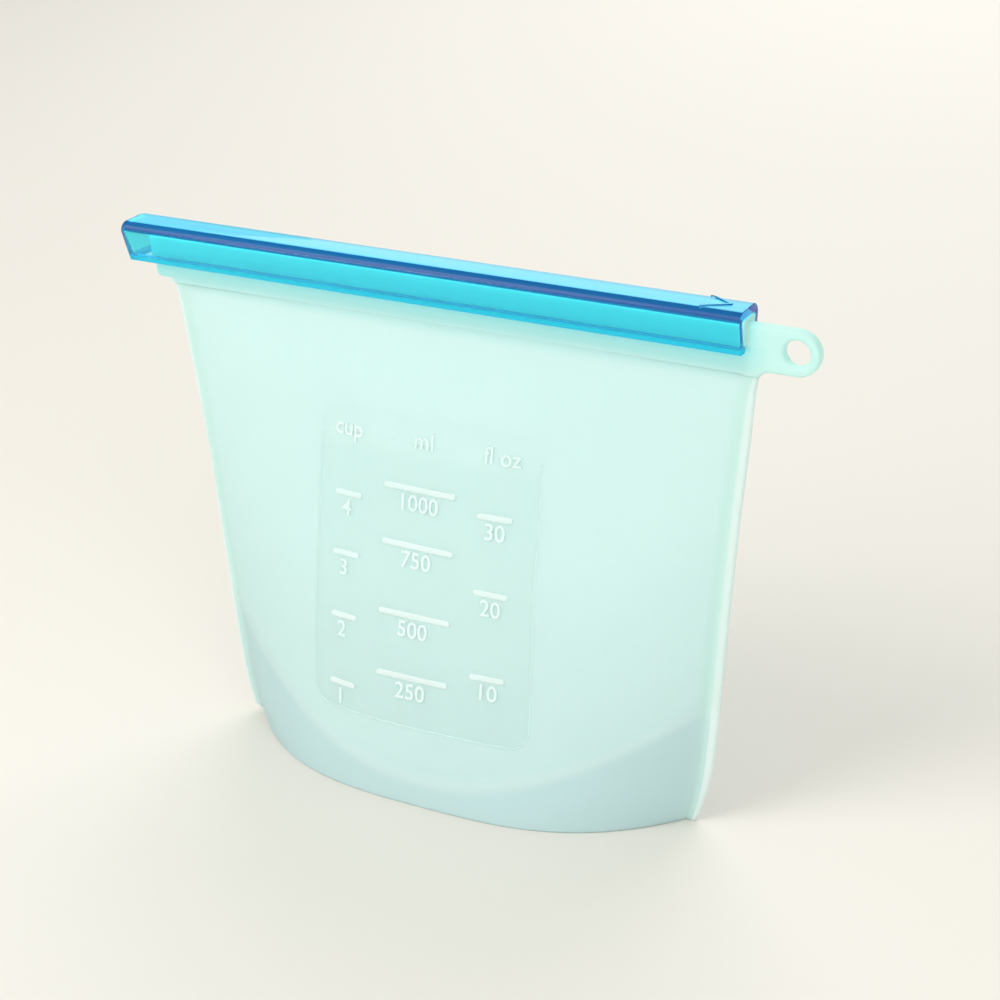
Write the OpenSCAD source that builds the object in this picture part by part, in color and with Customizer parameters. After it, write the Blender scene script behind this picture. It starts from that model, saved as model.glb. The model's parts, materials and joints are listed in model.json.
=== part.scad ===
// Stand-up silicone storage bag, closed by a rigid bar that slides over its beaded mouth.
// Millimetres, +Z up. The origin is the middle of the base on the table, and X runs along
// the mouth with the hanging tab at the +X end. The front wall faces -Y.

/* [Pouch] */
// Height of the shoulder, where the walls meet the mouth band
shoulder_z = 142.5; // [141:0.1:143]
// Width across the side seams at the shoulder
top_w = 188.6; // [186:0.2:190]
// How far the bulge pulls each side seam in at the base
side_pull = 14.4; // [8:0.2:18]
// Extra pull on each bottom corner, close to the table
corner_pull = 3.5; // [1:0.1:5]
// Depth of the open base, front to back
base_depth = 58.5; // [40:0.5:70]
// Thickness of each silicone wall
wall_t = 1.1; // [0.8:0.1:1.6]
// Width of the bonded side seams
seam_w = 3; // [2:0.5:5]
// Roundness of the base outline: 2 is a lens, more is squarer
base_power = 3.1; // [2:0.1:4]

/* [Base gusset] */
// Height at which the gusset leaves the walls at the side seams
gusset_side_z = 38.5; // [28:0.5:46]
// Height at which the gusset leaves the walls in the middle
gusset_mid_z = 9.5; // [8:0.5:16]
// Thickness of the gusset sheet
gusset_t = 1; // [0.8:0.1:1.2]
// Rise of the floor from its seams to its middle
floor_rise = 2; // [1:0.5:4]

/* [Mouth] */
// X of the mouth's blunt end, left of the centre
mouth_end = 99.2; // [97:0.1:101]
// X where the beaded mouth stops and the hanging tab begins
tab_x = 90.9; // [88:0.1:92]
// Thickness of the mouth band, both lips together
band_t = 3.6; // [3:0.1:3.8]
// Thickness across the two beads at their widest
bead_t = 7; // [6:0.1:7.2]
// Thickness across the two beads where they hook over the bar's lips
bead_base_t = 5.6; // [5:0.1:5.8]
// Height of the underside of the beads
bead_z = 150.7; // [150.4:0.1:151.5]
// Height of the top of the beads
bead_top_z = 157.8; // [156:0.1:158]
// Radius of the locating rib between the lips
rib_r = 0.8; // [0.5:0.1:1]

/* [Hanging tab] */
// Height of the tab's lower edge
tab_z = 143.7; // [143.2:0.1:144.4]
// Height of the tab, which is also the diameter of its round end
tab_h = 12.9; // [11:0.1:13.4]
// Distance from the tab's root to the centre of its hole
hole_reach = 14; // [12:0.1:18]
// Diameter of the hanging hole
hole_d = 7.5; // [5:0.1:8]
// Thickness of the tab
tab_t = 3.6; // [3:0.1:5]

/* [Seal bar] */
// Length of the bar
bar_len = 200; // [199:0.5:203]
// Height of the bar's lower edge
bar_z = 148.6; // [148.2:0.1:148.8]
// Height of the bar's flat top
bar_top_z = 160.6; // [160.5:0.1:161.5]
// Depth of the bar at its widest, front to back
bar_depth = 12.4; // [12.2:0.1:13]
// Lean of the bar's two sides, in degrees
side_lean = 9; // [7:0.5:9.5]
// Radius of the bar's two long top edges
bar_round = 3; // [2.4:0.1:3.4]
// Thickness of the bar's sides
side_t = 1.5; // [1.2:0.05:1.6]
// Thickness of the bar's roof
roof_t = 2.4; // [2:0.1:2.5]
// Width of the slot between the bar's gripping lips
slot_w = 4.4; // [4:0.1:4.8]
// Height of the gripping lips
grip_h = 1.6; // [1.2:0.1:1.8]
// Thickness of the closed end
end_t = 1.8; // [1.5:0.1:2.3]
// Slope of the closed end away from upright, in degrees
end_lean = 16; // [0:1:18]

/* [Hidden] */
$fn = 64;
wall_cols = 36; // cells across a wall
wall_rows = 22; // cells up a wall
gusset_cols = 28; // cells across the gusset
skirt_rows = 4; // cells up each skirt of the gusset
floor_rows = 10; // cells across the floor of the gusset
gap = 0.04; // hairline between bonded faces
trim = 0.5; // trimmed off the walls' lower edge
skirt_gap = 0.25; // between a wall and the gusset's skirt inside it
end_gap = 0.1; // between the bar's open end and the tab
shoulder_d = (band_t - gap) / 2 - wall_t; // bulge left at the shoulder
base_d = base_depth / 2 - wall_t - gap / 2; // bulge at the table
fold_in = 2.2; // how far the gusset's sides stop short of the side seams
band_inset = 0.5; // how far the mouth band stops inside the side seams
blunt_round = 2; // radius of the lower corner of the mouth's blunt end
bead_round = 1.2; // radius of the beads' top edges
rib_inset = 2; // how far the locating rib stops short of the mouth's ends
tab_fillet = 2.5; // fillet between the tab and its foot
plan_round = 3; // radius of the closed end's corners, seen from above
channel_round = 1.2; // radius of the channel's top corners
roof_extra = 0.15; // extra thickness of the bar's sides where they meet the roof
arrow_back = 4.9; // distance of the chevron's tip from the tab
arrow_len = 8.8; // length of each arm of the chevron
arrow_w = 0.9; // width of each arm
arrow_rise = 0.45; // height of the chevron above the bar's roof
arrow_angle = 30; // angle between each arm and the bar
side_curve = 0.73; // below 1, so the side seams draw in fastest under the shoulder
bulge_skew = 1.3; // above 1, so the pouch is fullest above mid height
smile_curve = 1.9; // how flat the smile-shaped seam is in its middle
overcut = 1; // how far a cut reaches past the surface it opens
floor_share = 0.94; // part of the floor's depth that its own rows span
bulge_up = 0.07; // extra fullness at mid height
corner_z = 10; // height over which the corner pull fades
silicone = [0.80, 0.95, 0.91, 0.85];
tinted = [0.20, 0.76, 0.95, 0.85];

// ---- shape of the filled pouch -------------------------------------------------

// Half the width across the side seams, at a height
function half_w(z) =
    top_w / 2 - side_pull * pow(1 - min(z / shoulder_z, 1), side_curve) - corner_pull * exp(-z / corner_z);

// Bulge of one wall on the centre line, at a height
function mid_bulge(z) =
    let (t = max(min(z / shoulder_z, 1), 0))
    shoulder_d + (base_d - shoulder_d) * (1 - t + bulge_up * sin(180 * pow(t, bulge_skew)));

// Bulge of one wall at any point, where x is measured inside the seams
function bulge(x, z) =
    let (s = min(abs(x) / (half_w(z) - seam_w), 1), power = base_power - z / shoulder_z)
    mid_bulge(z) * (1 - pow(s, power));

// Height of the seam between gusset and wall, where s runs from -1 to 1 across the bag
function smile_z(s) = gusset_mid_z + (gusset_side_z - gusset_mid_z) * pow(abs(s), smile_curve);

// Positions from -1 to 1 that crowd towards both ends
function spread(i, n) = sin(90 * (2 * i / n - 1));

// Closed sheet between two grids of points of the same size, the near one facing -Y
module sheet(near, far) {
    rows = len(near);
    cols = len(near[0]);
    function at(side, r, c) = (side * rows + r) * cols + c;
    function quad(a, b, c, d) = [[a, b, c], [a, c, d]];
    points = concat([for (row = near) each row], [for (row = far) each row]);
    skin = [
        for (r = [0:rows - 2], c = [0:cols - 2])
            each concat(
                quad(at(0, r, c), at(0, r + 1, c), at(0, r + 1, c + 1), at(0, r, c + 1)),
                quad(at(1, r, c + 1), at(1, r + 1, c + 1), at(1, r + 1, c), at(1, r, c))
            )
    ];
    ends = [
        for (c = [0:cols - 2])
            each concat(
                quad(at(0, 0, c), at(0, 0, c + 1), at(1, 0, c + 1), at(1, 0, c)),
                quad(at(0, rows - 1, c + 1), at(0, rows - 1, c), at(1, rows - 1, c), at(1, rows - 1, c + 1))
            )
    ];
    sides = [
        for (r = [0:rows - 2])
            each concat(
                quad(at(0, r + 1, 0), at(0, r, 0), at(1, r, 0), at(1, r + 1, 0)),
                quad(at(0, r, cols - 1), at(0, r + 1, cols - 1), at(1, r + 1, cols - 1), at(1, r, cols - 1))
            )
    ];
    polyhedron(points = points, faces = concat(skin, ends, sides), convexity = 6);
}

// ---- pouch ------------------------------------------------------------------------

// Grid of points on one face of the front wall, a distance out from the bonding face
function wall_face(out) = [
    for (r = [0:wall_rows])
        let (z = (shoulder_z - gap / 2 + trim) * r / wall_rows - trim)
        [for (c = [0:wall_cols]) let (x = half_w(z) * spread(c, wall_cols)) [x, -bulge(x, z) - out, z]]
];

// The front wall, trimmed flat where it stands on the table
module wall() {
    intersection() {
        sheet(wall_face(wall_t + gap / 2), wall_face(gap / 2));
        translate([-top_w, -base_depth, 0]) cube([2 * top_w, base_depth, shoulder_z + overcut]);
    }
}

module front_wall() {
    color(silicone) wall();
}

module back_wall() {
    color(silicone) mirror([0, 1, 0]) wall();
}

// X of a point on the gusset, where s runs from -1 to 1 across the bag
function gusset_x(s, z) = s * (half_w(z) - seam_w - fold_in);

// Distance of the gusset's skirt from the middle plane
function skirt_y(s, z) = bulge(gusset_x(s, z), z) - skirt_gap;

// Point of a skirt, a fraction k of the way up to the smile-shaped seam
function skirt_point(side, s, k, inset) =
    let (z = smile_z(s) * k)
    [gusset_x(s, z), side * (skirt_y(s, z) - inset), z - (k == 1 ? inset : 0)];

// Point of the floor, where v runs from -1 at the front seam to 1 at the back seam
function floor_point(s, v, drop) =
    let (z = smile_z(s))
    [gusset_x(s, z), v * skirt_y(s, z), z + floor_rise * (1 - v * v) - drop];

// One face of the gusset: down inside the front wall, over the floor, down inside the back
function gusset_face(inset) = concat(
    [for (k = [0:skirt_rows]) [for (c = [0:gusset_cols])
        skirt_point(-1, spread(c, gusset_cols), k / skirt_rows, inset)]],
    [for (k = [1:floor_rows - 1]) [for (c = [0:gusset_cols])
        floor_point(spread(c, gusset_cols), (2 * k / floor_rows - 1) * floor_share, inset)]],
    [for (k = [skirt_rows:-1:0]) [for (c = [0:gusset_cols])
        skirt_point(1, spread(c, gusset_cols), k / skirt_rows, inset)]]
);

module base_gusset() {
    color(silicone) sheet(gusset_face(0), gusset_face(gusset_t));
}

// ---- mouth ------------------------------------------------------------------------

// Outline of the mouth band seen from the front: its blunt end overhangs the side seam
module band_outline() {
    corner = half_w(shoulder_z) - band_inset;
    foot_z = shoulder_z + gap / 2;
    round_z = tab_z + blunt_round;
    top_z = bead_z + overcut;
    translate([-corner, foot_z]) square([corner + tab_x - gap, top_z - foot_z]);
    translate([-mouth_end, round_z]) square([blunt_round, top_z - round_z]);
    translate([-mouth_end + blunt_round, tab_z]) square([mouth_end - corner, top_z - tab_z]);
    translate([-mouth_end + blunt_round, round_z]) circle(r = blunt_round);
}

// Section of one bead, with a round shoulder, in Y and Z
module bead_section() {
    half_top = bead_t / 2;
    round_z = bead_top_z - bead_round;
    polygon([
        [-gap / 2, bead_z],
        [-bead_base_t / 2, bead_z],
        [-half_top, round_z],
        [-half_top + bead_round, bead_top_z],
        [-gap / 2, bead_top_z]
    ]);
    translate([-half_top + bead_round, round_z]) circle(r = bead_round);
}

// Extrudes a Y-Z section along X, from one X to another
module along_x(from, to) {
    translate([from, 0, 0]) rotate([90, 0, 90]) linear_extrude(height = to - from) children();
}

// Extrudes an X-Z outline along Y, from one Y to another
module along_y(from, to) {
    translate([0, to, 0]) rotate([90, 0, 0]) linear_extrude(height = to - from) children();
}

// Rounded rib that locates the two lips on each other
module locating_rib(r) {
    along_x(-mouth_end + rib_inset, tab_x - rib_inset)
        translate([0, (bead_z + bead_top_z) / 2]) circle(r = r);
}

module lip() {
    along_x(-mouth_end, tab_x - gap) bead_section();
    along_y(-band_t / 2, -gap / 2) band_outline();
}

module front_lip() {
    color(silicone) union() {
        lip();
        locating_rib(rib_r);
    }
}

module back_lip() {
    color(silicone) difference() {
        mirror([0, 1, 0]) lip();
        locating_rib(rib_r + gap);
    }
}

// Tab at the end of the mouth, with a foot down to the corner of the pouch
module hang_tab() {
    tab_r = tab_h / 2;
    hole_x = tab_x + hole_reach;
    foot_x = half_w(shoulder_z) - band_inset;
    foot_z = shoulder_z + gap / 2;
    color(silicone) difference() {
        along_y(-tab_t / 2, tab_t / 2) difference() {
            union() {
                translate([tab_x, tab_z]) square([hole_reach, tab_h]);
                translate([hole_x, tab_z + tab_r]) circle(r = tab_r);
                translate([tab_x, foot_z]) square([foot_x + tab_fillet - tab_x, tab_z - foot_z + gap]);
            }
            translate([foot_x + tab_fillet, tab_z - tab_fillet]) circle(r = tab_fillet);
        }
        translate([hole_x, 0, tab_z + tab_r])
            rotate([90, 0, 0]) cylinder(d = hole_d, h = tab_t * 2, center = true);
    }
}

// ---- seal bar -----------------------------------------------------------------------

// Outer section of the bar: leaning sides, round top edges, flat top
module bar_section() {
    cy = bar_depth / 2 - bar_round;
    cz = bar_top_z - bar_round;
    ty = cy + bar_round * cos(side_lean);
    tz = cz - bar_round * sin(side_lean);
    foot_y = ty - (tz - bar_z) * tan(side_lean);
    polygon([[-foot_y, bar_z], [-ty, tz], [-cy, bar_top_z], [cy, bar_top_z], [ty, tz], [foot_y, bar_z]]);
    for (side = [-1, 1]) translate([side * cy, cz]) circle(r = bar_round);
}

// Channel for the beads, with the slot under it that the band passes through
module channel_section() {
    roof_z = bar_top_z - roof_t;
    round_z = roof_z - channel_round;
    grip_z = bar_z + grip_h;
    half_roof = bar_depth / 2 - side_t - roof_extra;
    half_grip = half_roof - (roof_z - grip_z) * tan(side_lean);
    round_y = half_roof - channel_round;
    polygon([
        [-half_grip, grip_z],
        [-half_roof, round_z],
        [-round_y, roof_z],
        [round_y, roof_z],
        [half_roof, round_z],
        [half_grip, grip_z]
    ]);
    for (side = [-1, 1]) translate([side * round_y, round_z]) circle(r = channel_round);
    translate([-slot_w / 2, bar_z - overcut]) square([slot_w, grip_h + 2 * overcut]);
}

// The bar seen from the front: its closed end leans, and its top corner is round
module bar_elevation(inset) {
    cx = tab_x - end_gap - bar_len + bar_round;
    cz = bar_top_z - bar_round;
    r = bar_round - inset;
    top = cz + r;
    tx = cx - r * cos(end_lean);
    tz = cz - r * sin(end_lean);
    right = tab_x - end_gap + (inset > 0 ? overcut : 0);
    foot_z = bar_z - overcut;
    foot_x = tx + (tz - foot_z) * tan(end_lean);
    polygon([[foot_x, foot_z], [tx, tz], [cx, top], [right, top], [right, foot_z]]);
    translate([cx, cz]) circle(r = r);
}

// The bar seen from above, with round corners at its closed end
module bar_plan() {
    left = tab_x - end_gap - bar_len;
    half = bar_depth / 2;
    round_x = left + plan_round;
    translate([round_x, -half]) square([bar_len - plan_round, bar_depth]);
    translate([left, plan_round - half]) square([bar_len, bar_depth - 2 * plan_round]);
    for (side = [-1, 1]) translate([round_x, side * (half - plan_round)]) circle(r = plan_round);
}

// Raised chevron over the bar's roof that points the way the bar slides on, towards the tab
module slide_arrow() {
    tip_x = tab_x - arrow_back;
    intersection() {
        along_x(tip_x - arrow_len, tip_x + arrow_w) translate([0, arrow_rise]) bar_section();
        translate([tip_x, 0, bar_top_z - bar_round]) union() {
            cylinder(d = arrow_w, h = bar_round + overcut);
            for (side = [-1, 1]) rotate([0, 0, 180 + side * arrow_angle])
                translate([0, -arrow_w / 2, 0]) cube([arrow_len, arrow_w, bar_round + overcut]);
        }
    }
}

// The channel is cut last, so nothing on the bar reaches the beads
module seal_bar() {
    left = tab_x - end_gap - bar_len;
    color(tinted) difference() {
        union() {
            intersection() {
                along_x(left, tab_x - end_gap) bar_section();
                along_y(-bar_depth, bar_depth) bar_elevation(0);
                translate([0, 0, bar_z - overcut])
                    linear_extrude(height = bar_top_z - bar_z + 2 * overcut) bar_plan();
            }
            slide_arrow();
        }
        intersection() {
            along_x(left, tab_x + overcut) channel_section();
            along_y(-bar_depth, bar_depth) bar_elevation(end_t);
        }
    }
}

front_wall();
back_wall();
base_gusset();
front_lip();
back_lip();
hang_tab();
seal_bar();
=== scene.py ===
"""Looks of the stand-up silicone bag with its slide-on seal bar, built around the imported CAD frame."""

import json
import math

import bpy
import bmesh
from mathutils import Euler, Matrix, Vector, noise


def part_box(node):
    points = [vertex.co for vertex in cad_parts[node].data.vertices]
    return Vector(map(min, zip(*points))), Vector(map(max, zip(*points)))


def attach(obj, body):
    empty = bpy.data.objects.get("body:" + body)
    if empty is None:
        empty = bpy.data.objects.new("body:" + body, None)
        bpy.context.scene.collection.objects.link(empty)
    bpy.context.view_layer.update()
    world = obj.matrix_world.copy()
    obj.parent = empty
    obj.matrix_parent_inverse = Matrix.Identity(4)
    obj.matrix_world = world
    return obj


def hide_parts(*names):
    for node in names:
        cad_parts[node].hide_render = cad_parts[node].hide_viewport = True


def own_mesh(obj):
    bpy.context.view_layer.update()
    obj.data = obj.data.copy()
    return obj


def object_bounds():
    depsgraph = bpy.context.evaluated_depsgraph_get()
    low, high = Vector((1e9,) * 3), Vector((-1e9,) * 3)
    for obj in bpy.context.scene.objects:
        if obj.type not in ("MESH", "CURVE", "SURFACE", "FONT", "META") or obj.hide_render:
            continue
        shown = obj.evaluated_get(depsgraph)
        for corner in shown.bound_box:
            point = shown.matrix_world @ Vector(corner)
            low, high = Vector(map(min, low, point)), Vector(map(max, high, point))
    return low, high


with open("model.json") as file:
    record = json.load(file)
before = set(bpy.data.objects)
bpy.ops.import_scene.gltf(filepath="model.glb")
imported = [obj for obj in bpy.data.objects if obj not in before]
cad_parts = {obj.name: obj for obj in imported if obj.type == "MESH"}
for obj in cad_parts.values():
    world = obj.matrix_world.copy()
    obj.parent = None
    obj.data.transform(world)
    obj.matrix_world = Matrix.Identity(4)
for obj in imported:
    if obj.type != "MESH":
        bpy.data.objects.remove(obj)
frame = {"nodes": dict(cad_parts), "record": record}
cad_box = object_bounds()
scene = bpy.context.scene

MM = 0.001

# ---- sizes taken from the frame, in millimetres ---------------------------------


def box_mm(node):
    low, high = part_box(node)
    return low / MM, high / MM


wall_low, wall_high = box_mm("front_wall")
tab_low, tab_high = box_mm("hang_tab")
bar_low, bar_high = box_mm("seal_bar")
hole = next(m for m in frame["record"]["mounts"] if m["name"] == "hang_hole")

HOLE_X, HOLE_Z = hole["pos_m"][0] / MM, hole["pos_m"][2] / MM
SHOULDER_Z = wall_high.z
TOP_HALF = wall_high.x
BASE_HALF_DEPTH = -wall_low.y
BAND_HALF = 1.8  # half the thickness of the mouth band
WALL_T = 1.1  # thickness of the walls
SEAM_W = 3.0  # width of the bonded side seams
SIDE_PULL = 14.4  # how far the bulge pulls the side seams in at the table
SIDE_CURVE = 0.73  # below 1, so the side seams draw in fastest under the shoulder
CORNER_PULL = 3.5  # extra pull on each bottom corner
CORNER_Z = 10.0  # height over which the corner pull fades
BASE_POWER = 3.1  # roundness of the base outline
BULGE_UP = 0.07  # extra fullness above mid height
BULGE_SKEW = 1.3  # moves that fullness towards the shoulder
SHOULDER_D = BAND_HALF - WALL_T
BASE_D = BASE_HALF_DEPTH - WALL_T

SMILE_MID = 9.5  # height of the smile-shaped seam in the middle
SMILE_SIDE = 38.5  # its height at the side seams
SMILE_CURVE = 1.9  # how flat it is in the middle
SKIRT_GAP = 0.12  # between a wall and the gusset's skirt inside it
GUSSET_T = 0.9  # thickness of the gusset
FOLD_IN = 2.0  # how far the gusset stops short of the side seams
FLOOR_RISE = 2.0  # how far the gusset's floor domes up in the middle
SKIRT_STEP = 0.22  # how far the skirt behind it pushes the wall out
RIDGE_RISE = 0.10  # height of the ridge along the smile-shaped seam
RIDGE_W = 1.4


# ---- shape of the pouch: the same law as the CAD --------------------------------


def half_w(z):
    up = max(1 - z / SHOULDER_Z, 0.0)
    return TOP_HALF - SIDE_PULL * up**SIDE_CURVE - CORNER_PULL * math.exp(-z / CORNER_Z)


def bulge(x, z):
    t = min(max(z / SHOULDER_Z, 0.0), 1.0)
    mid = SHOULDER_D + (BASE_D - SHOULDER_D) * (1 - t + BULGE_UP * math.sin(math.pi * t**BULGE_SKEW))
    s = min(abs(x) / (half_w(z) - SEAM_W), 1.0)
    return mid * (1 - s ** (BASE_POWER - t))


def smile_z(s):
    return SMILE_MID + (SMILE_SIDE - SMILE_MID) * abs(s) ** SMILE_CURVE


def smooth_step(low, high, value):
    t = min(max((value - low) / (high - low), 0.0), 1.0)
    return t * t * (3 - 2 * t)


def slack(x, z, seed):
    """Gentle unevenness of soft silicone, fading out at the seams and the shoulder."""
    s = abs(x) / half_w(z)
    t = z / SHOULDER_Z
    fade = (1 - min(s, 1.0) ** 4) * smooth_step(1.0, 0.8, t) * smooth_step(0.0, 0.12, t)
    broad = noise.noise(Vector((x * 0.018, z * 0.022, seed)))
    fine = noise.noise(Vector((x * 0.06, z * 0.045, seed + 7)))
    return fade * (1.5 * broad + 0.35 * fine)


def wall_out(x, z, seed=1.0):
    """Distance of the wall's outer face from the middle plane."""
    s = x / (half_w(z) - SEAM_W - FOLD_IN)
    seam = smile_z(min(abs(s), 1.0))
    skirt = SKIRT_STEP * smooth_step(seam + 2.2, seam - 2.2, z)
    ridge = RIDGE_RISE * math.exp(-(((z - seam) / RIDGE_W) ** 2))
    inside = smooth_step(1.02, 0.9, abs(s))
    return bulge(x, z) + WALL_T + slack(x, z, seed) + (skirt + ridge) * inside


# ---- mesh helpers ------------------------------------------------------------------


def make_piece(name, verts, faces, material, smooth_angle=40):
    mesh = bpy.data.meshes.new(name)
    mesh.from_pydata([(x * MM, y * MM, z * MM) for x, y, z in verts], [], faces)
    bm = bmesh.new()
    bm.from_mesh(mesh)
    bmesh.ops.recalc_face_normals(bm, faces=bm.faces)
    bm.to_mesh(mesh)
    bm.free()
    mesh.materials.append(material)
    piece = bpy.data.objects.new(name, mesh)
    scene.collection.objects.link(piece)
    smooth_by_angle(piece, smooth_angle)
    return piece


def smooth_by_angle(piece, degrees):
    mesh = piece.data
    mesh.polygons.foreach_set("use_smooth", [True] * len(mesh.polygons))
    mesh.set_sharp_from_angle(angle=math.radians(degrees))


def apply_modifiers(piece):
    evaluated = piece.evaluated_get(bpy.context.evaluated_depsgraph_get())
    mesh = bpy.data.meshes.new_from_object(evaluated)
    piece.modifiers.clear()
    piece.data = mesh
    return piece


def boolean(piece, tool, operation):
    """Combines tool into piece, and removes tool."""
    step = piece.modifiers.new("combine", "BOOLEAN")
    step.operation = operation
    step.solver = "EXACT"
    step.object = tool
    apply_modifiers(piece)
    bpy.data.objects.remove(tool)
    return piece


def bevel(piece, width_mm, segments=3, angle=35):
    step = piece.modifiers.new("bevel", "BEVEL")
    step.width = width_mm * MM
    step.segments = segments
    step.limit_method = "ANGLE"
    step.angle_limit = math.radians(angle)
    step.harden_normals = False
    return apply_modifiers(piece)


def shell(near, far):
    """Closed sheet between two grids of points of the same size: (vertices, faces)."""
    rows, cols = len(near), len(near[0])
    verts = [p for row in near for p in row] + [p for row in far for p in row]

    def at(side, r, c):
        return (side * rows + r) * cols + c

    faces = []
    for r in range(rows - 1):
        for c in range(cols - 1):
            faces.append((at(0, r, c), at(0, r, c + 1), at(0, r + 1, c + 1), at(0, r + 1, c)))
            faces.append((at(1, r, c), at(1, r + 1, c), at(1, r + 1, c + 1), at(1, r, c + 1)))
    for c in range(cols - 1):
        faces.append((at(0, 0, c), at(1, 0, c), at(1, 0, c + 1), at(0, 0, c + 1)))
        last = rows - 1
        faces.append((at(0, last, c), at(0, last, c + 1), at(1, last, c + 1), at(1, last, c)))
    for r in range(rows - 1):
        faces.append((at(0, r, 0), at(0, r + 1, 0), at(1, r + 1, 0), at(1, r, 0)))
        last = cols - 1
        faces.append((at(0, r, last), at(1, r, last), at(1, r + 1, last), at(0, r + 1, last)))
    return verts, faces


def loft(rings):
    """Closed solid through rings of the same number of points: (vertices, faces)."""
    count = len(rings[0])
    verts = [p for ring in rings for p in ring]
    faces = []
    for k in range(len(rings) - 1):
        for i in range(count):
            j = (i + 1) % count
            faces.append((k * count + i, k * count + j, (k + 1) * count + j, (k + 1) * count + i))
    faces.append(tuple(range(count)))
    faces.append(tuple(range((len(rings) - 1) * count, len(rings) * count)))
    return verts, faces


def arc(cx, cy, radius, start, stop, steps):
    """Points on an arc, from one angle in degrees to another."""
    angles = [math.radians(start + (stop - start) * i / steps) for i in range(steps + 1)]
    return [(cx + radius * math.cos(a), cy + radius * math.sin(a)) for a in angles]


def crowded(i, n):
    """From -1 to 1, crowding towards both ends."""
    return math.sin(math.pi / 2 * (2 * i / n - 1))


# ---- materials -----------------------------------------------------------------------


class Nodes:
    """A material's node tree, with short ways to add nodes and sums."""

    def __init__(self, name):
        self.material = bpy.data.materials.new(name)
        self.material.use_nodes = True
        self.tree = self.material.node_tree
        self.tree.nodes.clear()
        self.output = self.tree.nodes.new("ShaderNodeOutputMaterial")

    def add(self, kind, inputs=None, **settings):
        node = self.tree.nodes.new(kind)
        for key, value in settings.items():
            setattr(node, key, value)
        for key, value in (inputs or {}).items():
            self.feed(node.inputs[key], value)
        return node

    def feed(self, socket, value):
        if isinstance(value, bpy.types.NodeSocket):
            self.tree.links.new(value, socket)
        else:
            socket.default_value = value

    def math(self, operation, a, b=0.0, c=0.0):
        node = self.add("ShaderNodeMath", {0: a, 1: b, 2: c}, operation=operation)
        return node.outputs[0]

    def ramp(self, value, low, high, to_low=0.0, to_high=1.0):
        node = self.add(
            "ShaderNodeMapRange",
            {"Value": value, "From Min": low, "From Max": high, "To Min": to_low, "To Max": to_high},
            interpolation_type="SMOOTHSTEP",
        )
        return node.outputs["Result"]

    def mix(self, factor, a, b):
        node = self.add("ShaderNodeMix", data_type="RGBA")
        inputs = [s for s in node.inputs if s.enabled]
        self.feed(inputs[0], factor)
        self.feed(inputs[1], a)
        self.feed(inputs[2], b)
        return next(s for s in node.outputs if s.enabled)

    def blend(self, factor, a, b):
        node = self.add("ShaderNodeMixShader")
        self.feed(node.inputs[0], factor)
        self.feed(node.inputs[1], a)
        self.feed(node.inputs[2], b)
        return node.outputs[0]


# Window in the front wall: a polished, clearer panel inside the frosted silicone
WINDOW_LEFT, WINDOW_RIGHT = -39.5, 33.5
WINDOW_LOW, WINDOW_TOP = 24.0, 115.5
WINDOW_ROUND = 6.0

# Silicone, from one sheet to several lying together, plus a painted highlight colour; the band's colour is
# partly painted shade and a painted reflection of the bar
MINT = (0.80, 0.965, 0.95, 1)
MINT_SKIRT = (0.69, 0.88, 0.89, 1)
# band colour: partly two layers of silicone, partly painted shade and painted reflection from the bar
# above
MINT_BAND_SHADED = (0.54, 0.87, 0.85, 1)
MINT_TAB = (0.67, 0.92, 0.88, 1)
MINT_GREEN = (0.72, 0.93, 0.875, 1)
# painted highlight colour for the wall's edges and the smile-shaped seam
MINT_HIGHLIGHT = (0.90, 0.985, 0.97, 1)
MINT_MARK = (0.91, 0.99, 0.98, 1)
MINT_CLEAR = (0.90, 0.98, 0.97, 1)

# The bar's plastic
PLASTIC = (0.97, 1.0, 1.0, 1)
ABSORBED = (0.0, 0.925, 0.99, 1)  # what a long path through the plastic leaves
ABSORPTION = 720.0  # per metre
# painted light for the bar's roof
ROOF_PAINTED_LIGHT = (0.20, 0.80, 0.98, 1)
# painted shade colours for the bar's round edges
EDGE_SHADE_NAVY = (0.008, 0.07, 0.25, 1)
EDGE_SHADE_PURPLE = (0.055, 0.085, 0.27, 1)
FOOT_TEAL = (0.02, 0.60, 0.72, 1)
DEEP_BLUE = (0.30, 0.42, 0.62, 1)
DEEP_TEAL = (0.08, 0.62, 0.78, 1)
SHADOW_CYAN = (0.95, 1.0, 1.0, 1)


def noise_at(n, where, scale, detail):
    return n.add("ShaderNodeTexNoise", {"Vector": where, "Scale": scale, "Detail": detail}).outputs["Fac"]


def silicone_texture(n, cloud_scale=22.0):
    """The object's own coordinates, slow clouds for the colour, and a bump from fine grain."""
    where = n.add("ShaderNodeTexCoord").outputs["Object"]
    cloud = noise_at(n, where, cloud_scale, 3.0)
    grain = noise_at(n, where, 2600.0, 2.0)
    bump = n.add("ShaderNodeBump", {"Height": grain, "Strength": 0.08, "Distance": 0.0001}).outputs[0]
    return where, cloud, bump


def x_and_z(n, where):
    """Millimetres along X and Z."""
    split = n.add("ShaderNodeSeparateXYZ", {"Vector": where})
    return n.math("DIVIDE", split.outputs["X"], MM), n.math("DIVIDE", split.outputs["Z"], MM)


def let_light_through(n, surface, shadow_tint, deep_tint):
    """Lets light reach what lies behind a clear surface, and ends long paths inside it in a deep tint."""
    path = n.add("ShaderNodeLightPath")
    to_light = n.add("ShaderNodeBsdfTransparent", {"Color": shadow_tint}).outputs[0]
    onward = n.add("ShaderNodeBsdfTransparent", {"Color": deep_tint}).outputs[0]
    is_deep = n.math("GREATER_THAN", path.outputs["Glossy Depth"], 2.5)
    surface = n.blend(is_deep, surface, onward)
    return n.blend(path.outputs["Is Shadow Ray"], surface, to_light)


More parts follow.
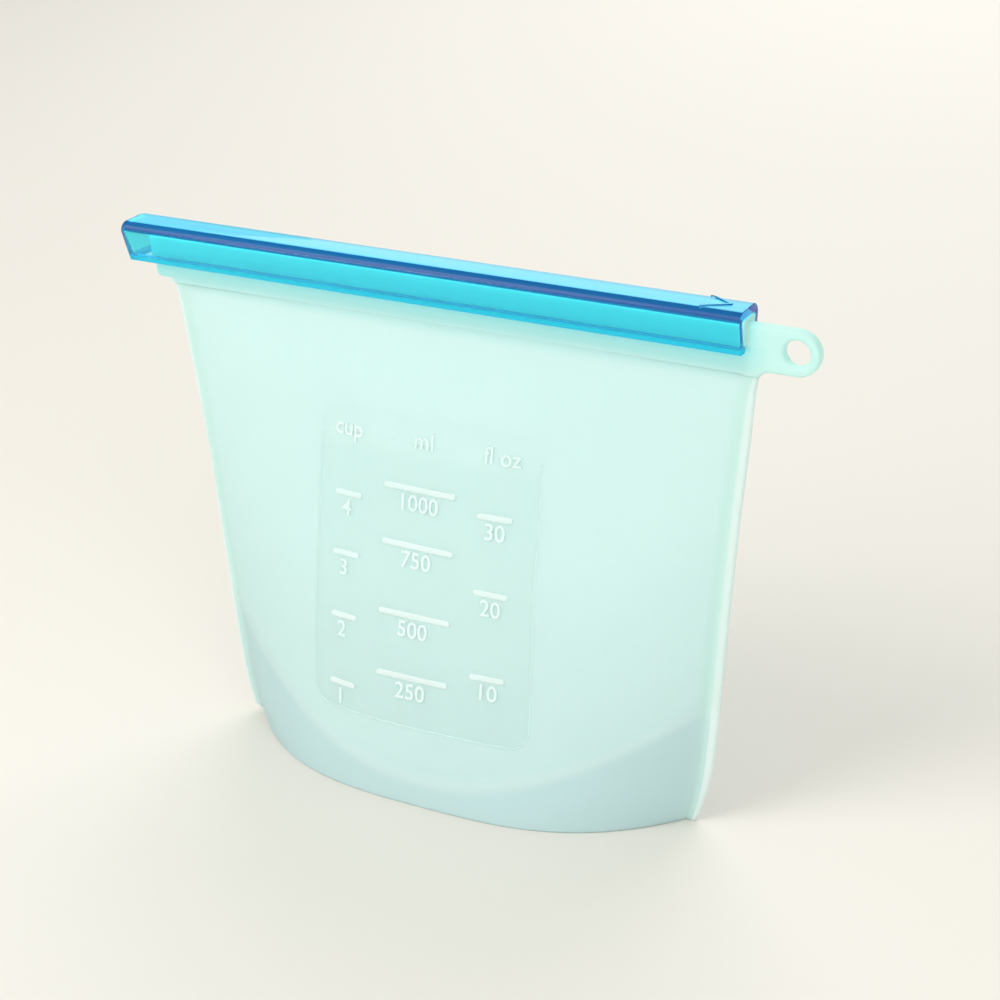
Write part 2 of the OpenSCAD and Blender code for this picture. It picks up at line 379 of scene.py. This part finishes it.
def silicone_body(n, colour, see_through, rough, bump):
    """Frosted silicone: light scattered on both sides of the sheet, with a blurred view through."""
    skin = n.add(
        "ShaderNodeBsdfPrincipled",
        {"Base Color": colour, "Roughness": rough, "IOR": 1.41, "Normal": bump, "Sheen Weight": 0.1},
    ).outputs[0]
    through = n.add("ShaderNodeBsdfTranslucent", {"Color": colour, "Normal": bump}).outputs[0]
    clear = n.add(
        "ShaderNodeBsdfRefraction", {"Color": MINT_CLEAR, "Roughness": rough, "IOR": 1.12}
    ).outputs[0]
    body = n.blend(0.35, skin, through)
    return n.blend(see_through, body, clear)


def wall_material(name, has_window):
    """The pouch's wall: bluer over the skirt, with painted highlights along its seams and edges and
    painted shade under the band, polished in the window.
    """
    n = Nodes(name)
    where, cloud, bump = silicone_texture(n, 18.0)
    x, z = x_and_z(n, where)
    side = n.math("ABSOLUTE", x)
    width = half_width(n, z)
    reach = n.math("MINIMUM", n.math("DIVIDE", side, n.math("SUBTRACT", width, SEAM_W + FOLD_IN)), 1.0)
    seam_z = n.math("MULTIPLY_ADD", n.math("POWER", reach, SMILE_CURVE), SMILE_SIDE - SMILE_MID, SMILE_MID)
    below = n.math("SUBTRACT", seam_z, z)
    skirt = n.ramp(below, -5.0, 5.0)
    seam = n.ramp(n.math("ABSOLUTE", n.math("SUBTRACT", below, 1.0)), 0.2, 3.6, 1.0, 0.0)
    shoulder = n.ramp(z, SHOULDER_Z - 3.5, SHOULDER_Z + 0.5)
    from_edge = n.math("SUBTRACT", width, side)
    # mask for a painted highlight along the wall's outer edges
    edge_highlight = n.ramp(from_edge, 0.9, 1.7, 1.0, 0.0)
    side_band = n.math("MULTIPLY", n.ramp(from_edge, 1.2, 2.0), n.ramp(from_edge, 3.0, 6.0, 1.0, 0.0))

    colour = n.mix(n.ramp(cloud, 0.35, 0.75, 0.0, 0.10), MINT, MINT_SKIRT)
    colour = n.mix(skirt, colour, MINT_SKIRT)
    # painted highlight along the smile-shaped seam
    colour = n.mix(n.math("MULTIPLY", seam, 0.3), colour, MINT_HIGHLIGHT)
    # painted shade under the band at the top of the wall, darkening it towards the band's colour
    colour = n.mix(n.math("MULTIPLY", shoulder, 0.6), colour, MINT_BAND_SHADED)
    colour = n.mix(n.math("MULTIPLY", side_band, 0.6), colour, MINT_GREEN)
    # painted highlight along the wall's outer edges
    colour = n.mix(edge_highlight, colour, MINT_HIGHLIGHT)
    see = n.ramp(skirt, 0.0, 1.0, 0.20, 0.08)
    rough = n.ramp(cloud, 0.3, 0.7, 0.40, 0.50)
    if has_window:
        inside = window_mask(n, x, z)
        see = n.math("MAXIMUM", see, n.math("MULTIPLY", inside, 0.28))
        rough = n.math("MULTIPLY", rough, n.ramp(inside, 0.0, 1.0, 1.0, 0.35))
    n.feed(n.output.inputs["Surface"], silicone_body(n, colour, see, rough, bump))
    return n.material


def half_width(n, z):
    """half_w as nodes."""
    up = n.math("MAXIMUM", n.math("SUBTRACT", 1.0, n.math("DIVIDE", z, SHOULDER_Z)), 0.0)
    side = n.math("MULTIPLY", n.math("POWER", up, SIDE_CURVE), SIDE_PULL)
    corner = n.math("MULTIPLY", n.math("EXPONENT", n.math("DIVIDE", z, -CORNER_Z)), CORNER_PULL)
    return n.math("SUBTRACT", TOP_HALF, n.math("ADD", side, corner))


def window_mask(n, x, z):
    """1 inside the window's rounded rectangle and 0 outside."""
    half_x = (WINDOW_RIGHT - WINDOW_LEFT) / 2 - WINDOW_ROUND
    half_z = (WINDOW_TOP - WINDOW_LOW) / 2 - WINDOW_ROUND
    from_x = n.math("ABSOLUTE", n.math("SUBTRACT", x, (WINDOW_LEFT + WINDOW_RIGHT) / 2))
    from_z = n.math("ABSOLUTE", n.math("SUBTRACT", z, (WINDOW_LOW + WINDOW_TOP) / 2))
    over_x = n.math("MAXIMUM", n.math("SUBTRACT", from_x, half_x), 0.0)
    over_z = n.math("MAXIMUM", n.math("SUBTRACT", from_z, half_z), 0.0)
    square = n.math("ADD", n.math("MULTIPLY", over_x, over_x), n.math("MULTIPLY", over_z, over_z))
    inside = n.ramp(n.math("SQRT", square), WINDOW_ROUND - 0.3, WINDOW_ROUND, 1.0, 0.0)
    return n.math("MULTIPLY", inside, n.ramp(z, WINDOW_TOP - 14.0, WINDOW_TOP - 1.0, 1.0, 0.3))


def silicone_material(name, tint, see_through, roughness=0.45):
    """Plain frosted silicone for the gusset and the raised marks."""
    n = Nodes(name)
    _, cloud, bump = silicone_texture(n)
    colour = n.mix(n.ramp(cloud, 0.35, 0.75, 0.0, 0.15), tint, MINT_BAND_SHADED)
    rough = n.ramp(cloud, 0.3, 0.7, roughness - 0.05, roughness + 0.06)
    n.feed(n.output.inputs["Surface"], silicone_body(n, colour, see_through, rough, bump))
    return n.material


def mouth_material():
    """The lips and the tab: one moulding, deeper in colour on the band below the bar, partly from two
    layers of silicone and partly painted shade and painted reflection from the bar.
    """
    n = Nodes("silicone_mouth")
    where, cloud, bump = silicone_texture(n)
    x, z = x_and_z(n, where)
    along_tab = n.ramp(x, tab_low.x - 6.0, tab_low.x + 9.0)
    in_bar = n.ramp(z, bar_low.z, bar_low.z + 2.5)
    # darker below the bar: painted shade and painted reflection of the bar, partly the band's two layers
    colour = n.mix(n.math("MAXIMUM", along_tab, in_bar), MINT_BAND_SHADED, MINT_TAB)
    colour = n.mix(n.ramp(z, SHOULDER_Z - 0.2, SHOULDER_Z + 2.2, 0.5, 0.0), colour, MINT)
    colour = n.mix(n.ramp(cloud, 0.35, 0.75, 0.0, 0.12), colour, MINT_BAND_SHADED)
    rough = n.ramp(cloud, 0.3, 0.7, 0.40, 0.50)
    n.feed(n.output.inputs["Surface"], silicone_body(n, colour, 0.05, rough, bump))
    return n.material


def tinted_plastic():
    """Clear cyan plastic: painted light on its roof, painted shade along its round edges, teal at its
    foot.
    """
    n = Nodes("tinted_plastic")
    where = n.add("ShaderNodeTexCoord").outputs["Object"]
    _, z = x_and_z(n, where)
    flow = noise_at(n, where, 60.0, 2.0)
    bump = n.add("ShaderNodeBump", {"Height": flow, "Strength": 0.008, "Distance": 0.0004}).outputs[0]
    glass = n.add(
        "ShaderNodeBsdfPrincipled",
        {
            "Base Color": PLASTIC,
            "Roughness": n.ramp(flow, 0.35, 0.7, 0.01, 0.04),
            "IOR": 1.49,
            "Transmission Weight": 1.0,
            "Normal": bump,
        },
    ).outputs[0]

    def tint(surface, amount, colour):
        return n.blend(amount, surface, n.add("ShaderNodeBsdfDiffuse", {"Color": colour}).outputs[0])

    normal = n.add("ShaderNodeNewGeometry").outputs["Normal"]
    up = n.add("ShaderNodeSeparateXYZ", {"Vector": normal}).outputs["Z"]
    # mask for painted shade on the round edges
    edge_shade = n.math("MULTIPLY", n.ramp(up, 0.36, 0.46, 0.0, 0.84), n.ramp(up, 0.92, 0.97, 1.0, 0.0))
    # painted light on the roof, on faces that look up
    surface = tint(glass, n.ramp(up, 0.93, 0.985, 0.0, 0.5), ROOF_PAINTED_LIGHT)
    # painted shade along the round edges
    surface = tint(surface, edge_shade, n.mix(n.ramp(up, 0.62, 0.72), EDGE_SHADE_PURPLE, EDGE_SHADE_NAVY))
    surface = tint(surface, n.ramp(z, bar_low.z + 1.5, bar_low.z + 1.9, 0.5, 0.0), FOOT_TEAL)

    deep = n.mix(n.ramp(z, bar_low.z + 2.4, bar_low.z + 3.6, 1.0, 0.0), DEEP_BLUE, DEEP_TEAL)
    depth = n.add("ShaderNodeVolumeAbsorption", {"Color": ABSORBED, "Density": ABSORPTION}).outputs[0]
    n.feed(n.output.inputs["Surface"], let_light_through(n, surface, SHADOW_CYAN, deep))
    n.feed(n.output.inputs["Volume"], depth)
    return n.material


def plain_material(name, colour, roughness):
    """Even, opaque colour for the floor."""
    n = Nodes(name)
    flat = n.add("ShaderNodeBsdfPrincipled", {"Base Color": colour, "Roughness": roughness}).outputs[0]
    n.feed(n.output.inputs["Surface"], flat)
    return n.material


# ---- pouch -----------------------------------------------------------------------------

WALL_COLS = 170
WALL_ROWS = 150
EDGE_ROUND = 0.8  # radius of the walls' outer edges
EDGE_SHARE = 0.8  # share of the wall's thickness that the rounding takes at the very edge
WALL_EASE = 0.02
NOTCH_Z = 2.2  # height where the left side seam's flange stops
CORNER_ROUND = 1.5  # radius of the skirt's corner under that notch
LEFT_TUCK = 0.6  # how much narrower the left flange is around mid height
TUCK_Z = 88
TUCK_SPAN = 22
RIGHT_FLARE = 0.9  # how much wider the right flange is between base and shoulder


def left_edge(z):
    """X of the pouch's left edge, with the notch under the end of the side seam."""
    if z >= NOTCH_Z:
        return LEFT_TUCK * math.exp(-(((z - TUCK_Z) / TUCK_SPAN) ** 2)) - half_w(z)
    drop = max(CORNER_ROUND - z, 0.0)
    rounding = CORNER_ROUND - math.sqrt(max(CORNER_ROUND**2 - drop**2, 0.0))
    return -half_w(z) + SEAM_W * smooth_step(NOTCH_Z, NOTCH_Z - 0.5, z) + rounding


def right_edge(z):
    """X of the pouch's right edge, where the flange is a little wider at mid height."""
    return half_w(z) + RIGHT_FLARE * smooth_step(2, 20, z) * smooth_step(SHOULDER_Z, SHOULDER_Z - 22, z)


def row_heights():
    """Heights of the wall's rows: close together at the foot, with a pair at the notch."""
    heights = [SHOULDER_Z * (r / WALL_ROWS) ** 1.15 for r in range(WALL_ROWS + 1)]
    notch = [NOTCH_Z - 0.5, NOTCH_Z - 0.3, NOTCH_Z - 0.15, NOTCH_Z]
    low_edge = [0.12, 0.25, 0.45, 0.7]
    return sorted(set(heights + notch + low_edge))


def wall_grid(side, outer, seed):
    grid = []
    for z in row_heights():
        left, right = left_edge(z), right_edge(z)
        row = []
        for c in range(WALL_COLS + 1):
            x = left + (right - left) * (crowded(c, WALL_COLS) + 1) / 2
            edge = max(min(x - left, right - x, EDGE_ROUND), 0.0) / EDGE_ROUND
            foot = min(z + WALL_EASE, EDGE_ROUND) / EDGE_ROUND
            round_in = WALL_T * EDGE_SHARE * (1 - math.sqrt(1 - (1 - min(edge, foot)) ** 2))
            out = wall_out(x, z, seed)
            y = out - round_in if outer else out - WALL_T + WALL_EASE
            row.append((x, side * y, z))
        grid.append(row)
    return grid


def build_wall(name, side, seed, material):
    verts, faces = shell(wall_grid(side, True, seed), wall_grid(side, False, seed))
    return make_piece(name, verts, faces, material)


GUSSET_COLS = 110
SKIRT_ROWS = 22
FLOOR_ROWS = 40
FLOOR_SPAN = 0.97  # share of the depth between the skirts that the floor's rows cover
GUSSET_LIFT = 0.05  # clearance under the gusset's skirts


def gusset_grid(inset):
    def x_at(s, z):
        x = s * (half_w(z) - SEAM_W - FOLD_IN)
        return max(x, left_edge(z) + FOLD_IN)

    def y_at(s, z):
        x = x_at(s, z)
        return bulge(x, z) - SKIRT_GAP + min(slack(x, z, 1.0), slack(x, z, 2.0), 0.0)

    def skirt(side, k):
        row = []
        for c in range(GUSSET_COLS + 1):
            s = crowded(c, GUSSET_COLS)
            z = smile_z(s) * k
            drop = inset if k == 1 else 0
            row.append((x_at(s, z), side * (y_at(s, z) - inset), z - drop + GUSSET_LIFT))
        return row

    def floor(v):
        row = []
        for c in range(GUSSET_COLS + 1):
            s = crowded(c, GUSSET_COLS)
            z = smile_z(s)
            row.append((x_at(s, z), v * y_at(s, z), z + FLOOR_RISE * (1 - v * v) - inset))
        return row

    up = [skirt(-1, k / SKIRT_ROWS) for k in range(SKIRT_ROWS + 1)]
    across = [floor(FLOOR_SPAN * (2 * k / FLOOR_ROWS - 1)) for k in range(1, FLOOR_ROWS)]
    down = [skirt(1, k / SKIRT_ROWS) for k in range(SKIRT_ROWS, -1, -1)]
    return up + across + down


def build_gusset(material):
    verts, faces = shell(gusset_grid(0.0), gusset_grid(GUSSET_T))
    return make_piece("gusset_sheet", verts, faces, material, 60)


# ---- hanging tab ------------------------------------------------------------------------------

TAB_EDGE = 0.9  # radius of the tab's soft edges
TAB_FILLET = 4.0  # radius of the fillet under the tab
TAB_ROOT = 0.8  # how deep the tab roots in the mouth and the walls
TAB_EASE = 0.03  # how much the tab's faces stand proud of the CAD's
BAND_INSET = 0.5  # how far the fillet starts inside the shoulder's end
HOLE_SIDES = 48


def tab_outline(inset):
    """Outline of the tab in X and Z: up its root, round its end, and down its foot to the shoulder."""
    radius = tab_high.z - HOLE_Z
    foot_z = tab_low.z - TAB_ROOT + inset
    centre_x = TOP_HALF - BAND_INSET + TAB_FILLET
    centre_z = HOLE_Z - radius - TAB_FILLET
    stop = 180 - math.degrees(math.asin((foot_z - centre_z) / (TAB_FILLET + inset)))
    top = [(tab_low.x - TAB_ROOT, foot_z), (tab_low.x - TAB_ROOT, tab_high.z - inset)]
    end = arc(HOLE_X, HOLE_Z, radius - inset, 90, -90, 32)
    return top + end + arc(centre_x, centre_z, TAB_FILLET + inset, 90, stop, 8)


def build_tab(material):
    hole_r = hole["dims"]["r_mm"]
    half_t = tab_high.y + TAB_EASE
    curve = bpy.data.curves.new("tab", "CURVE")
    curve.dimensions = "2D"
    curve.fill_mode = "BOTH"
    curve.bevel_depth = TAB_EDGE * MM
    curve.bevel_resolution = 4
    curve.extrude = (half_t - TAB_EDGE) * MM
    ring = arc(HOLE_X, HOLE_Z, hole_r + TAB_EDGE, 0, 360 - 360 / HOLE_SIDES, HOLE_SIDES - 1)
    for points in (tab_outline(TAB_EDGE), ring):
        spline = curve.splines.new("POLY")
        spline.points.add(len(points) - 1)
        for point, (x, z) in zip(spline.points, points):
            point.co = (x * MM, z * MM, 0, 1)
        spline.use_cyclic_u = True
    maker = bpy.data.objects.new("tab", curve)
    scene.collection.objects.link(maker)
    bpy.context.view_layer.update()
    flat = bpy.data.meshes.new_from_object(maker.evaluated_get(bpy.context.evaluated_depsgraph_get()))
    bpy.data.objects.remove(maker)
    bm = bmesh.new()
    bm.from_mesh(flat)
    bmesh.ops.remove_doubles(bm, verts=bm.verts, dist=0.002 * MM)
    verts = [(v.co.x / MM, -v.co.z / MM, v.co.y / MM) for v in bm.verts]
    faces = [tuple(v.index for v in f.verts) for f in bm.faces]
    bm.free()
    return make_piece("tab_moulding", verts, faces, material, 50)


# ---- measuring scale on the front wall ------------------------------------------------------

MARK_RISE = 0.4  # height of the raised marks
MARK_SINK = 0.15  # how deep they root in the wall
TICK_W = 1.75
DIGIT_H = 5.0
FONT_DIGIT_H = 0.73  # height of a digit in the built-in font at size 1
FONT_WEIGHT = 0.008  # how much the built-in font is thickened at size 1
RIM_STEP = 1.5  # spacing of the rim's points along the window's sides
RIM_SINK = 0.08  # how far the rim sinks towards the window's top
RIM_SECTION = [(-0.4, -MARK_SINK), (-0.25, 0.05), (0.0, 0.09), (0.25, 0.05), (0.4, -MARK_SINK)]


def on_wall(x, z, lift):
    return (x, -(wall_out(x, z) + lift), z)


def add_tick(verts, faces, x0, x1, z):
    """Pill-shaped bar along the wall."""
    half = TICK_W / 2
    outline = arc(x1 - half, z, half, -90, 90, 8) + arc(x0 + half, z, half, 90, 270, 8)
    layers = [(1.0, -MARK_SINK), (1.0, MARK_RISE * 0.6), (0.82, MARK_RISE * 0.9), (0.5, MARK_RISE)]
    first = len(verts)
    middle = (x0 + x1) / 2
    for share, lift in layers:
        for px, pz in outline:
            # the outline shrinks across its width only, so the ends stay round
            centre = min(max(px, x0 + half), x1 - half)
            verts.append(on_wall(centre + (px - centre) * share, z + (pz - z) * share, lift))
    count = len(outline)
    for k in range(len(layers) - 1):
        for i in range(count):
            j = (i + 1) % count
            a, b = first + k * count, first + (k + 1) * count
            faces.append((a + i, a + j, b + j, b + i))
    faces.append(tuple(first + i for i in range(count)))
    top = first + (len(layers) - 1) * count
    verts.append(on_wall(middle, z, MARK_RISE))
    centre_id = len(verts) - 1
    for i in range(count):
        faces.append((top + i, top + (i + 1) % count, centre_id))


def add_label(verts, faces, text, x, z, height):
    """Raised lettering, centred on a point of the wall."""
    curve = bpy.data.curves.new("label", "FONT")
    curve.body = text
    curve.align_x = "CENTER"
    curve.resolution_u = 6
    curve.offset = FONT_WEIGHT
    curve.extrude = 0.5
    maker = bpy.data.objects.new("label", curve)
    scene.collection.objects.link(maker)
    bpy.context.view_layer.update()
    mesh = bpy.data.meshes.new_from_object(maker.evaluated_get(bpy.context.evaluated_depsgraph_get()))
    bpy.data.objects.remove(maker)
    scale = height / FONT_DIGIT_H
    first = len(verts)
    for v in mesh.vertices:
        lift = MARK_RISE if v.co.z > 0 else -MARK_SINK
        verts.append(on_wall(x + v.co.x * scale, z + (v.co.y - FONT_DIGIT_H / 2) * scale, lift))
    for p in mesh.polygons:
        faces.append(tuple(first + i for i in p.vertices))
    bpy.data.meshes.remove(mesh)


def window_path():
    """Points around the window, close together, each with its outward direction."""
    r = WINDOW_ROUND
    corners = [
        (WINDOW_RIGHT - r, WINDOW_LOW + r, -90),
        (WINDOW_RIGHT - r, WINDOW_TOP - r, 0),
        (WINDOW_LEFT + r, WINDOW_TOP - r, 90),
        (WINDOW_LEFT + r, WINDOW_LOW + r, 180),
    ]
    ring = []
    for cx, cz, start in corners:
        ring += [(x, z, x - cx, z - cz) for x, z in arc(cx, cz, r, start, start + 90, 10)]
    path = []
    for a, b in zip(ring, ring[1:] + ring[:1]):
        steps = max(1, int(math.dist(a[:2], b[:2]) / RIM_STEP))
        for i in range(steps):
            t = i / steps
            x, z, out_x, out_z = (p + (q - p) * t for p, q in zip(a, b))
            path.append((x, z, Vector((out_x, out_z)).normalized()))
    return path


def add_window_rim(verts, faces):
    """Thin raised line around the window, sinking into the wall towards its top."""
    path = window_path()
    first = len(verts)
    for x, z, out in path:
        sink = RIM_SINK * smooth_step(WINDOW_TOP - 26, WINDOW_TOP - 4, z)
        for across, lift in RIM_SECTION:
            verts.append(on_wall(x + out.x * across, z + out.y * across, lift - sink))
    rows, count = len(path), len(RIM_SECTION)
    for k in range(rows):
        for i in range(count):
            a, b = first + k * count, first + ((k + 1) % rows) * count
            j = (i + 1) % count
            faces.append((a + i, a + j, b + j, b + i))


# Columns of the scale: the unit and its place, where the ticks start and end, the centre of the
# figures, and the rows
SCALE = [
    ("cup", (-29.3, 109.8), -33.5, -24.1, -29.3, [("4", 90.0), ("3", 72.2), ("2", 53.2), ("1", 32.1)]),
    ("ml", (-3.6, 110.2), -16.5, 7.4, -4.8, [("1000", 95.5), ("750", 78.7), ("500", 58.0), ("250", 39.2)]),
    ("fl oz", (21.4, 109.5), 14.4, 25.6, 20.2, [("30", 91.6), ("20", 69.3), ("10", 44.0)]),
]
FIGURE_DROP = 3.9  # from a tick to the centre of its figure


def build_scale(material):
    verts, faces = [], []
    for unit, (unit_x, unit_z), start, end, centre, rows in SCALE:
        add_label(verts, faces, unit, unit_x, unit_z, DIGIT_H)
        for figure, z in rows:
            add_tick(verts, faces, start, end, z)
            add_label(verts, faces, figure, centre, z - FIGURE_DROP, DIGIT_H)
    return make_piece("measuring_scale", verts, faces, material, 50)


def build_window_rim(material):
    verts, faces = [], []
    add_window_rim(verts, faces)
    return make_piece("window_rim", verts, faces, material, 60)


# ---- seal bar ------------------------------------------------------------------------------

BAR_HALF = bar_high.y  # half the bar's depth
BAR_LEAN = 9.0  # lean of the bar's sides, in degrees
BAR_ROUND = 3.0  # radius of the two long top edges
ARROW_RISE = 0.45
BAR_TOP = bar_high.z - ARROW_RISE
SIDE_T = 1.5  # thickness of the sides, the roof and the closed end
ROOF_T = 2.4
END_T = 1.8
SLOT_HALF = 2.2  # half the slot between the gripping lips
GRIP_H = 1.6  # height of the gripping lips
END_LEAN = 16.0  # lean of the closed end, in degrees
FOOT_ROUND = 0.35  # radius of the sides' lower edges
CHANNEL_ROUND = 1.2  # radius of the channel's top corners
CHANNEL_INSET = 0.15  # how much thicker the sides are at the channel's roof
CUT_PAST = 2.0  # how far the channel's cutter reaches out of the bar
END_ROUND_FOOT = 0.6  # radius of the closed end's edge, at the foot and at the top
END_ROUND_TOP = 2.9
LIP_BEVEL = 0.16
ROUND_STEPS = 12
END_STEPS = 8
ARROW_TIP_X = bar_high.x - 4.9
ARROW_LEN = 8.6
ARROW_W = 0.9
ARROW_ANGLE = 30.0
ARROW_INSET = 0.12  # how far the arms stop short of the bar's sides
ARROW_PROFILE = [(-0.5, -0.5), (-0.5, 0.6), (-0.3, 1.0), (0.3, 1.0), (0.5, 0.6), (0.5, -0.5)]
ARM_STEPS = 14


def section_outer():
    """Outer outline of the bar in Y and Z, from the front foot over the top to the back foot."""
    lean = math.radians(BAR_LEAN)
    cy, cz = BAR_HALF - BAR_ROUND, BAR_TOP - BAR_ROUND
    ty = cy + BAR_ROUND * math.cos(lean)
    tz = cz - BAR_ROUND * math.sin(lean)
    foot_y = ty - (tz - bar_low.z) * math.tan(lean)
    right = arc(cy, cz, BAR_ROUND, -BAR_LEAN, 90, ROUND_STEPS)
    left = [(-y, z) for y, z in reversed(right)]
    foot = arc(foot_y - FOOT_ROUND, bar_low.z + FOOT_ROUND, FOOT_ROUND, -90, -BAR_LEAN, 4)
    other = [(-y, z) for y, z in reversed(foot)]
    return foot + right + left + other


def section_channel():
    """Outline of the channel and the slot below it."""
    roof = BAR_TOP - ROOF_T
    grip = bar_low.z + GRIP_H
    half_roof = BAR_HALF - SIDE_T - CHANNEL_INSET
    half_grip = half_roof - (roof - grip) * math.tan(math.radians(BAR_LEAN))
    r = CHANNEL_ROUND
    right = [(SLOT_HALF, bar_low.z - CUT_PAST), (SLOT_HALF, grip), (half_grip, grip)]
    right += arc(half_roof - r, roof - r, r, 0, 90, 8)
    return right + [(-y, z) for y, z in reversed(right)]


def end_round(z):
    """Rounding of the closed end: tight at the foot, wide at the top."""
    share = smooth_step(bar_low.z + 1, bar_low.z + 6, z)
    return END_ROUND_FOOT + (END_ROUND_TOP - END_ROUND_FOOT) * share


def end_lean(z):
    """How far the closed end stands back at a height, because it leans."""
    return max(BAR_TOP - BAR_ROUND - z, 0.0) * math.tan(math.radians(END_LEAN))


def bar_shell_rings(outline):
    """Rings from the closed end's face, round its edge, and along to the open end."""
    mid_z = (bar_low.z + BAR_TOP) / 2
    rings = []
    for k in range(END_STEPS + 1):
        angle = math.pi / 2 * k / END_STEPS
        ring = []
        for y, z in outline:
            r = end_round(z)
            keep = 1 - r * (1 - math.sin(angle)) / math.hypot(y, z - mid_z)
            x = bar_low.x + r * (1 - math.cos(angle)) + end_lean(z)
            ring.append((x, y * keep, mid_z + (z - mid_z) * keep))
        rings.append(ring)
    rings.append([(bar_high.x, y, z) for y, z in outline])
    return rings


def bar_surface_z(y):
    """Height of the bar's roof at a depth, over its round edges."""
    over = min(max(abs(y) - (BAR_HALF - BAR_ROUND), 0.0), BAR_ROUND)
    return BAR_TOP - BAR_ROUND + math.sqrt(BAR_ROUND**2 - over**2)


def chevron_arm(side, material):
    """One arm of the chevron, from its tip back over the roof and its round edge."""
    angle = math.radians(ARROW_ANGLE) * side
    along = (-math.cos(angle), math.sin(angle))
    across = (-along[1], along[0])
    y_limit = BAR_HALF - ARROW_INSET
    rings = []
    for k in range(ARM_STEPS + 1):
        reach = ARROW_LEN * k / ARM_STEPS
        ring = []
        for w, rise in ARROW_PROFILE:
            x = ARROW_TIP_X + along[0] * reach + across[0] * w * ARROW_W
            y = along[1] * reach + across[1] * w * ARROW_W
            y = min(max(y, -y_limit), y_limit)
            ring.append((x, y, bar_surface_z(y) + ARROW_RISE * rise))
        rings.append(ring)
    return make_piece("arm", *loft(rings), material)


def build_bar(material):
    outline = section_outer()
    piece = make_piece("bar_shell", *loft(bar_shell_rings(outline)), material)
    channel = section_channel()
    near = [(bar_low.x + END_T + end_lean(z), y, z) for y, z in channel]
    far = [(bar_high.x + CUT_PAST, y, z) for y, z in channel]
    boolean(piece, make_piece("channel_cut", *loft([near, far]), material), "DIFFERENCE")
    bevel(piece, LIP_BEVEL)
    for side in (-1, 1):
        boolean(piece, chevron_arm(side, material), "UNION")
    smooth_by_angle(piece, 32)
    return piece


# ---- stage ------------------------------------------------------------------------------


FLOOR_COLOUR = (0.745, 0.722, 0.668, 1)
DAYLIGHT = (1.0, 0.99, 0.962, 1)


def build_stage():
    bpy.ops.mesh.primitive_plane_add(size=40, location=(0, 0, 0))
    floor = bpy.context.object
    floor.name = "floor"
    floor.data.materials.append(plain_material("pale_floor", FLOOR_COLOUR, 0.7))


def area_light(name, place, aim, size, power, colour=(1, 1, 1)):
    light = bpy.data.lights.new(name, "AREA")
    light.shape = "DISK"
    light.size = size
    light.energy = power
    light.color = colour
    lamp = bpy.data.objects.new(name, light)
    lamp.location = place
    lamp.rotation_euler = (Vector(aim) - Vector(place)).to_track_quat("-Z", "Y").to_euler()
    scene.collection.objects.link(lamp)


def build_lights():
    world = bpy.data.worlds.new("studio")
    world.use_nodes = True
    world.node_tree.nodes["Background"].inputs["Color"].default_value = DAYLIGHT
    world.node_tree.nodes["Background"].inputs["Strength"].default_value = 0.62
    scene.world = world
    middle = (0, 0, 0.09)
    area_light("key", (-0.5, -0.7, 0.8), middle, 0.8, 7.2, (1, 0.98, 0.95))
    area_light("fill", (0.8, -0.7, 0.45), middle, 0.9, 4.1, (0.95, 0.98, 1))
    area_light("back", (-0.2, 1.1, 0.9), middle, 1.6, 9)


def build_camera():
    """At the photograph's angle: to the right of the bag, above it and slightly rolled."""
    azimuth, elevation, roll = math.radians(29.28), math.radians(24.52), math.radians(-1.918)
    distance = 0.6753
    off_centre = Vector((0.0134, 0, 0.0103))
    low, high = [Vector(v) for v in cad_box]
    aim = (low + high) / 2 + off_centre
    camera = bpy.data.objects.new("camera", bpy.data.cameras.new("camera"))
    camera.data.lens = 84.6
    camera.data.sensor_width = 36
    turn = Euler((math.pi / 2 - elevation, 0, azimuth)).to_matrix()
    place = aim + turn @ Vector((0, 0, distance))
    camera.matrix_world = Matrix.Translation(place) @ (turn @ Matrix.Rotation(roll, 3, "Z")).to_4x4()
    scene.collection.objects.link(camera)
    scene.camera = camera


# ---- assembly ----------------------------------------------------------------------------

front_silicone = wall_material("silicone_front", True)
back_silicone = wall_material("silicone_back", False)
silicone = silicone_material("silicone", MINT, 0.12)
mouth_silicone = mouth_material()
mark_silicone = silicone_material("silicone_mark", MINT_MARK, 0.05, 0.6)
plastic = tinted_plastic()

front = build_wall("front_wall_sheet", -1, 1.0, front_silicone)
back = build_wall("back_wall_sheet", 1, 2.0, back_silicone)
gusset = build_gusset(silicone)
marks = build_scale(mark_silicone)
rim = build_window_rim(front_silicone)
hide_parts("front_wall")
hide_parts("back_wall")
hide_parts("base_gusset")
for piece in (front, back, gusset, marks, rim):
    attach(piece, "mouth")
    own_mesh(piece)

bar = build_bar(plastic)
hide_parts("seal_bar")
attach(bar, "bar")

tab = build_tab(mouth_silicone)
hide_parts("hang_tab")
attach(tab, "mouth")

for name in ("front_lip", "back_lip"):
    frame["nodes"][name].data.materials.clear()
    frame["nodes"][name].data.materials.append(mouth_silicone)

build_stage()
build_lights()
build_camera()
scene.view_settings.view_transform = "Standard"
